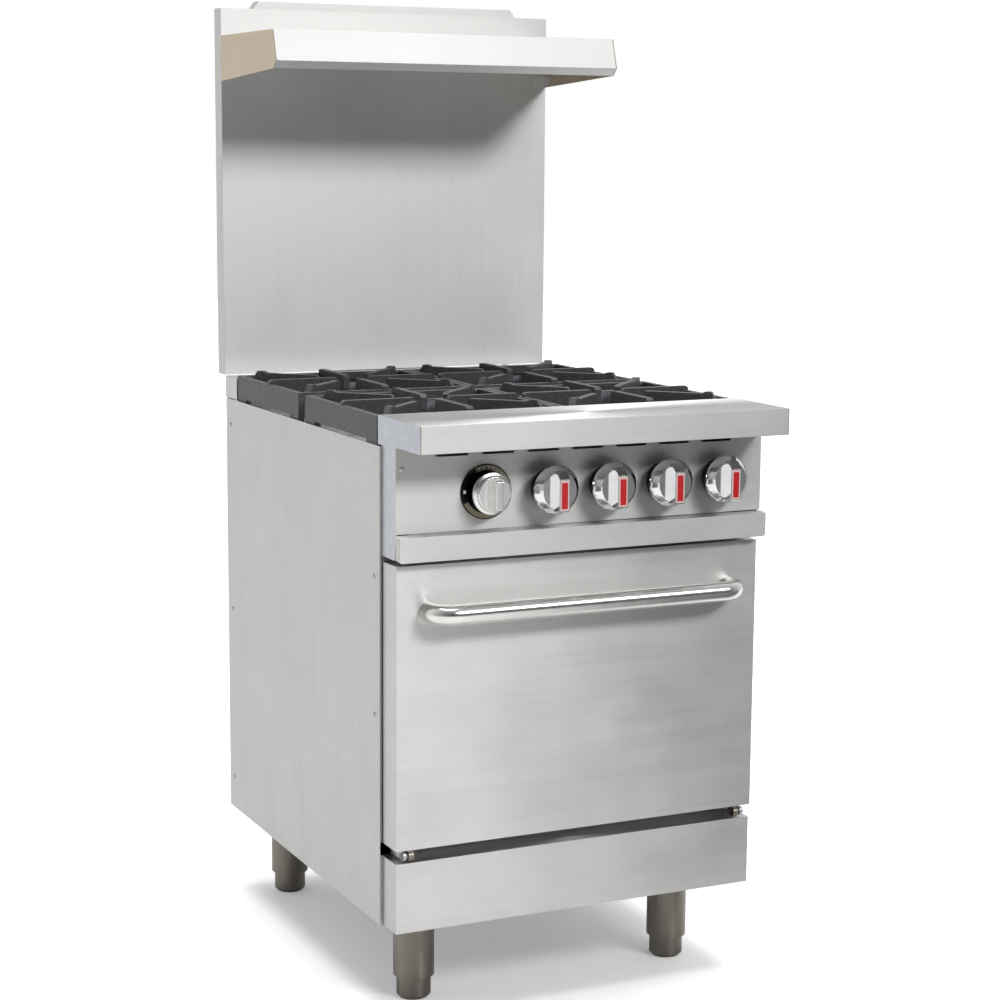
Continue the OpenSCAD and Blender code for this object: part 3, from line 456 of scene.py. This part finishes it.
def plate(name, outline, y, depth, material, body):
    """A small plate with a rounded rim, from an outline in X and Z; its front is at y."""
    bm = bmesh.new()
    front = [bm.verts.new((x, y, z)) for x, z in outline]
    face = bm.faces.new(front)
    made = bmesh.ops.extrude_face_region(bm, geom=[face])["geom"]
    for item in made:
        if isinstance(item, bmesh.types.BMVert):
            item.co.y += depth
    bmesh.ops.recalc_face_normals(bm, faces=bm.faces)
    mesh = bpy.data.meshes.new(name)
    bm.to_mesh(mesh)
    bm.free()
    mesh.materials.append(material)
    piece = bpy.data.objects.new(name, mesh)
    bpy.context.scene.collection.objects.link(piece)
    bevel = piece.modifiers.new("edges", "BEVEL")
    bevel.width = depth * 0.35
    bevel.segments = 2
    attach(piece, body)
    return piece


def ring_part(x, z, inner, outer, start, end, steps):
    """Outline of an arc-shaped band; angles in degrees, counted from +X towards +Z."""
    turns = [math.radians(start + (end - start) * i / steps) for i in range(steps + 1)]
    far = [(x + outer * math.cos(t), z + outer * math.sin(t)) for t in turns]
    near = [(x + inner * math.cos(t), z + inner * math.sin(t)) for t in reversed(turns)]
    return far + near


def rectangle(x, z, wide, high):
    return [
        (x - wide / 2, z - high / 2), (x + wide / 2, z - high / 2),
        (x + wide / 2, z + high / 2), (x - wide / 2, z + high / 2),
    ]


def burner_knob_trims():
    """Red strip in a pale frame on the front of each burner knob's grip."""
    red = lacquer("red_lacquer", (0.60, 0.012, 0.018), 0.28)
    pale = lacquer("pale_frame", (0.80, 0.62, 0.60), 0.35)
    for index, x in enumerate(KNOB_X):
        body = f"burner_knob_{index + 1}"
        z = KNOB_Z - STRIP_DROP
        plate(f"knob_frame_{index + 1}", rectangle(x, z, 0.0145, 0.0445),
              KNOB_FRONT - 0.0004, 0.0006, pale, body)
        plate(f"knob_strip_{index + 1}", rectangle(x, z - 0.0005, 0.0098, 0.0385),
              KNOB_FRONT - 0.0009, 0.0007, red, body)


def dial_marks():
    """Scale bands and pointer marks of the oven thermostat's dial."""
    gilt = satin_metal("dial_gilt", (0.30, 0.28, 0.20), 0.45, 900.0)
    white = lacquer("dial_white", (0.80, 0.80, 0.78), 0.4)
    y = DIAL_FACE - 0.0003
    for name, start, end in (("upper", 5, 118), ("lower", 205, 300)):
        outline = ring_part(DIAL_X, KNOB_Z, 0.0315, 0.0388, start, end, 24)
        plate(f"dial_band_{name}", outline, y, 0.0004, gilt, "root")
    for index in range(9):
        turn = 12 + index * 12
        outline = ring_part(DIAL_X, KNOB_Z, 0.033, 0.037, turn, turn + 1.6, 2)
        plate(f"dial_tick_{index + 1}", outline, y - 0.0003, 0.0003, white, "root")
    outline = ring_part(DIAL_X, KNOB_Z, 0.0325, 0.0365, 174, 182, 4)
    plate("dial_pointer", outline, y, 0.0004, white, "root")
    dot = ring_part(DIAL_X, KNOB_Z, 0.0272, 0.0305, 86, 92, 3)
    plate("knob_dot", dot, DOT_FACE, 0.0005, white, "thermostat_knob")


# ---------------------------------------------------------------- studio


FLOOR_HALF = 15.0  # metres from the middle to each edge
FLOOR_SEEN = (0.93, 0.93, 0.93)
FLOOR_LIGHTING = (0.68, 0.68, 0.68)
FLOOR_DIM = (0.10, 0.10, 0.10)  # the lighting floor's patch in front, on the right
FLOOR_GLOW = 0.18
PATCH_SLANT = 0.402  # the patch's left edge runs this far in X for each metre of Y


def make_floor():
    """Pale floor that lights the object less than it shows, so the metal keeps its contrast.

    What the metal mirrors of it is dim in front on the right, so the door shades off there.
    """
    s = Shader("floor", FLOOR_SEEN, 0.9, Specular_IOR_Level=0.1,
               Emission_Color=(1, 1, 1, 1))
    seen = s.add("ShaderNodeLightPath").outputs["Is Camera Ray"]
    pale = s.ramp(s.noise(3.0, 2.0), [(0.2, 0.92), (0.8, 0.94)])
    x, y, _ = s.parts()
    slanted = s.math("ADD", s.math("MULTIPLY", y, PATCH_SLANT), x)
    rightward = s.range(slanted, -0.25, 0.20, 0, 1)
    forward = s.range(s.math("MULTIPLY", y, -1), 0.45, 0.80, 0, 1)
    dim = s.math("MULTIPLY", rightward, forward)
    lighting = s.mix(dim, FLOOR_LIGHTING, FLOOR_DIM)
    s.feed("Base Color", s.mix(seen, lighting, pale))
    s.feed("Emission Strength", s.math("MULTIPLY", seen, FLOOR_GLOW))
    mesh = bpy.data.meshes.new("floor")
    half = FLOOR_HALF
    corners = [(-half, -half, 0), (half, -half, 0), (half, half, 0), (-half, half, 0)]
    mesh.from_pydata(corners, [], [(0, 1, 2, 3)])
    floor = bpy.data.objects.new("floor", mesh)
    mesh.materials.append(s.material)
    bpy.context.scene.collection.objects.link(floor)


KEY_PLACE = (2.45, -6.25, 4.95)
KEY_AIM = (0, 0.20, 0.90)
KEY_SIZE = (3.40, 1.50)
KEY_POWER = 252  # watts
TOP_STRENGTH = 2.6
TOP_ANGLE = 35  # degrees


def area_light(name, place, aim, size, power):
    """Rectangular light that points at aim and is itself out of the camera's sight."""
    data = bpy.data.lights.new(name, "AREA")
    data.shape = "RECTANGLE"
    data.size, data.size_y = size
    data.energy = power
    light = bpy.data.objects.new(name, data)
    light.location = place
    light.rotation_mode = "QUATERNION"
    light.rotation_quaternion = (Vector(aim) - Vector(place)).to_track_quat("-Z", "Y")
    light.visible_camera = False
    bpy.context.scene.collection.objects.link(light)


def top_light(strength, angle):
    """Wide soft light from straight above."""
    data = bpy.data.lights.new("top", "SUN")
    data.energy = strength
    data.angle = math.radians(angle)
    light = bpy.data.objects.new("top", data)
    bpy.context.scene.collection.objects.link(light)


def make_world():
    """White behind the object; for the object, a room that is dim in front and pale behind."""
    world = bpy.data.worlds.new("studio")
    world.use_nodes = True
    tree = world.node_tree
    tree.nodes.clear()
    link = tree.links.new
    parts = tree.nodes.new("ShaderNodeSeparateXYZ")
    link(tree.nodes.new("ShaderNodeTexCoord").outputs["Generated"], parts.inputs[0])
    both = tree.nodes.new("ShaderNodeMath")
    both.operation = "MAXIMUM"
    backward, upward = (-0.9, 0.2, 0.06, 1.00), (0.3, 0.9, 0.0, 0.5)
    for axis, stops, target in zip("YZ", (backward, upward), both.inputs):
        brightness = tree.nodes.new("ShaderNodeMapRange")
        for name, value in zip(("From Min", "From Max", "To Min", "To Max"), stops):
            brightness.inputs[name].default_value = value
        link(parts.outputs[axis], brightness.inputs["Value"])
        link(brightness.outputs[0], target)
    room = tree.nodes.new("ShaderNodeBackground")
    link(both.outputs[0], room.inputs["Strength"])
    white = tree.nodes.new("ShaderNodeBackground")
    white.inputs["Color"].default_value = (1, 1, 1, 1)
    seen = tree.nodes.new("ShaderNodeMixShader")
    link(tree.nodes.new("ShaderNodeLightPath").outputs["Is Camera Ray"], seen.inputs[0])
    link(room.outputs[0], seen.inputs[1])
    link(white.outputs[0], seen.inputs[2])
    output = tree.nodes.new("ShaderNodeOutputWorld")
    link(seen.outputs[0], output.inputs[0])
    bpy.context.scene.world = world
    bpy.context.scene.view_settings.view_transform = "Standard"


make_camera()
dress_frame()
burner_knob_trims()
dial_marks()
make_floor()
make_world()
area_light("key", KEY_PLACE, KEY_AIM, KEY_SIZE, KEY_POWER)
top_light(TOP_STRENGTH, TOP_ANGLE)
